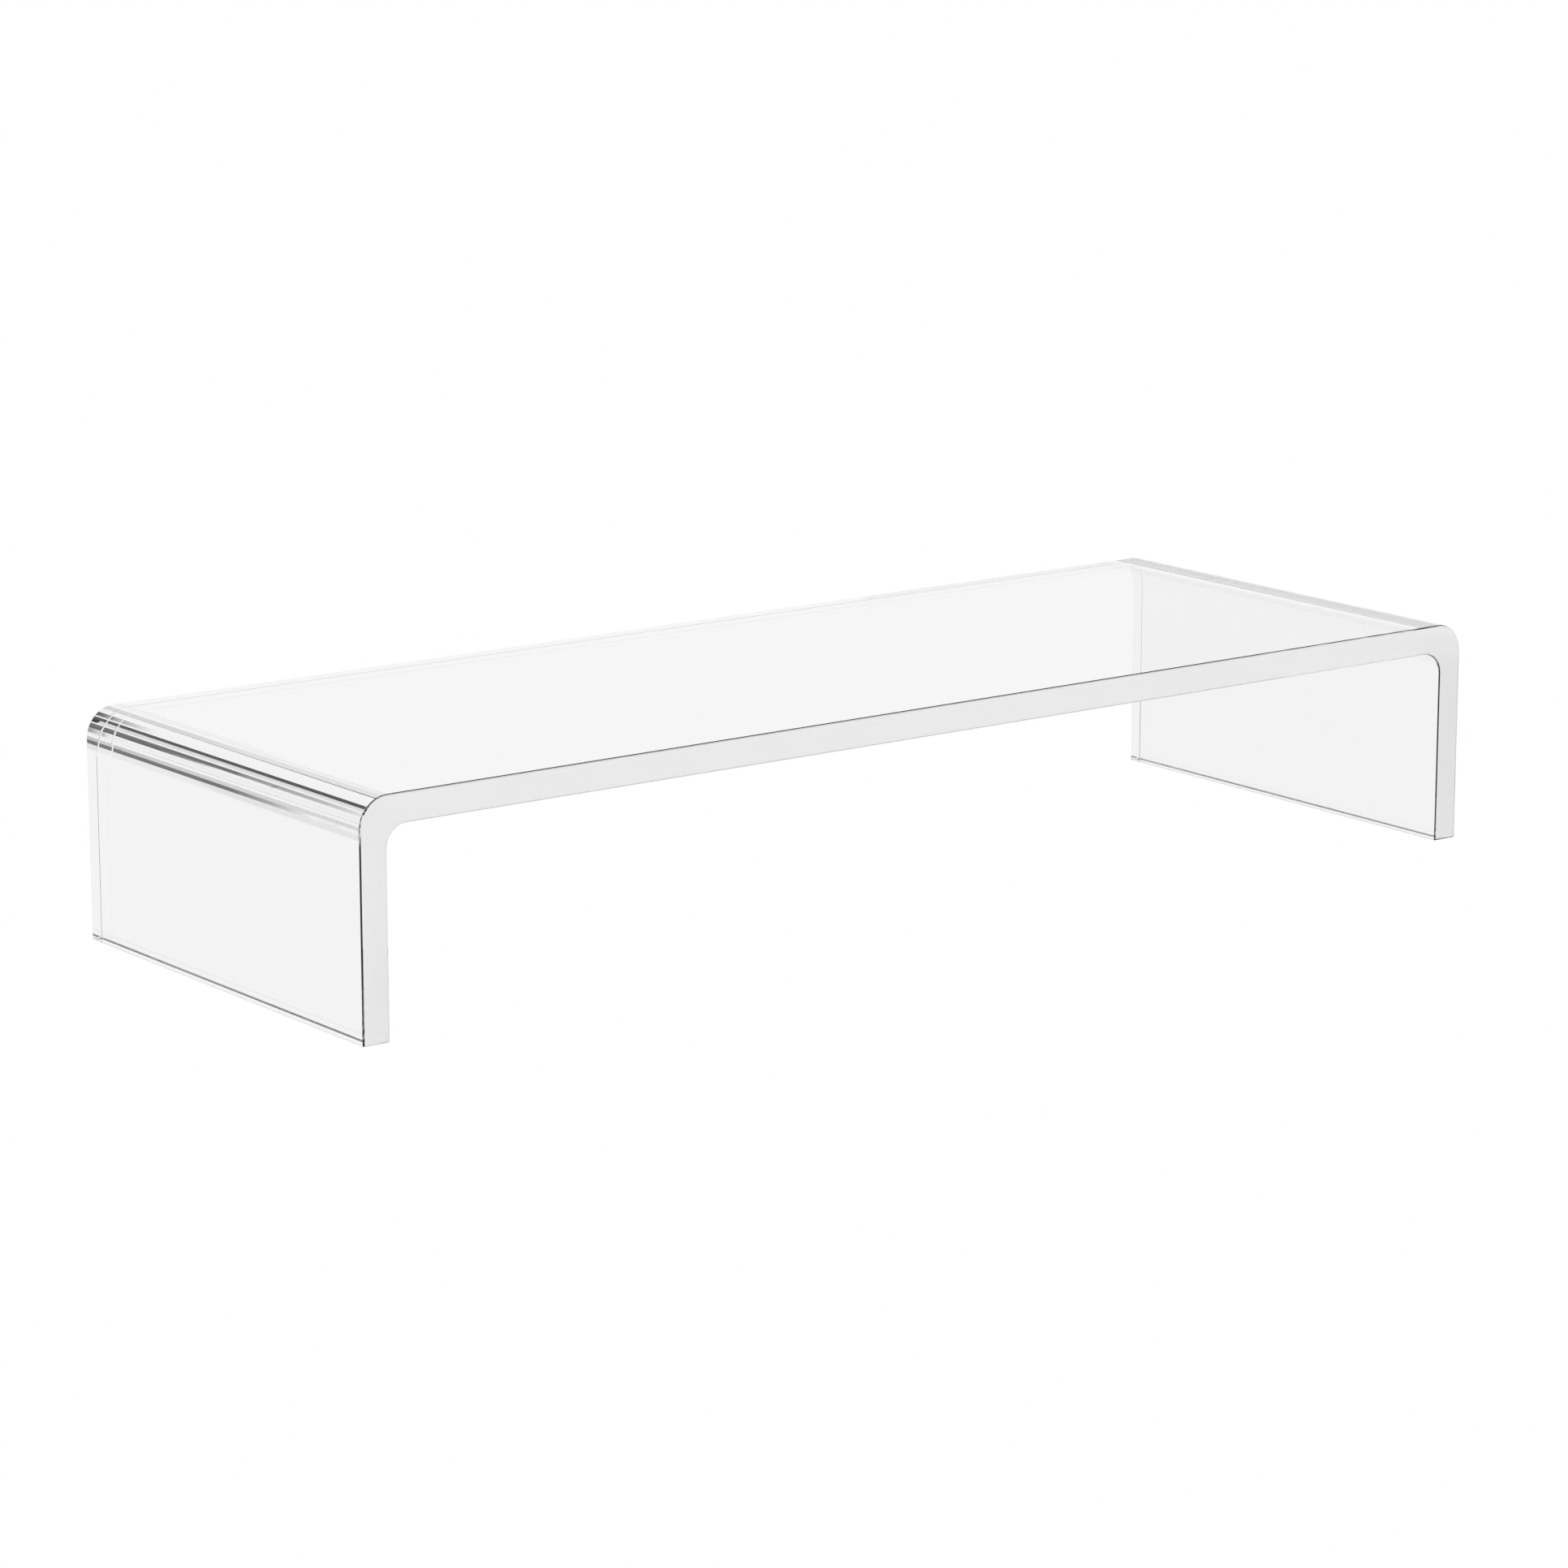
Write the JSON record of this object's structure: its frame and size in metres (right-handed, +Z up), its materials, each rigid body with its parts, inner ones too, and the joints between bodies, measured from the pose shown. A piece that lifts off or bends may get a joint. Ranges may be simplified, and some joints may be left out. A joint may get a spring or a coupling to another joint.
{
  "type": "monitor riser stand",
  "caption": "Clear acrylic monitor riser: a thick sheet bent down at its ends into legs, with rounded bends, satin cut edges and an open space underneath.",
  "frame": {"origin": "centre of the rectangle that the two legs stand on, at table level", "axes": "+X along the width from one leg to the other, +Y from the front edge to the back edge, +Z up"},
  "size_m": [0.56, 0.201, 0.095],
  "materials": {
    "clear_acrylic": "polished"
  },
  "bodies": {
    "root": {"bent_acrylic_sheet": "clear_acrylic"}
  },
  "joints": []
}
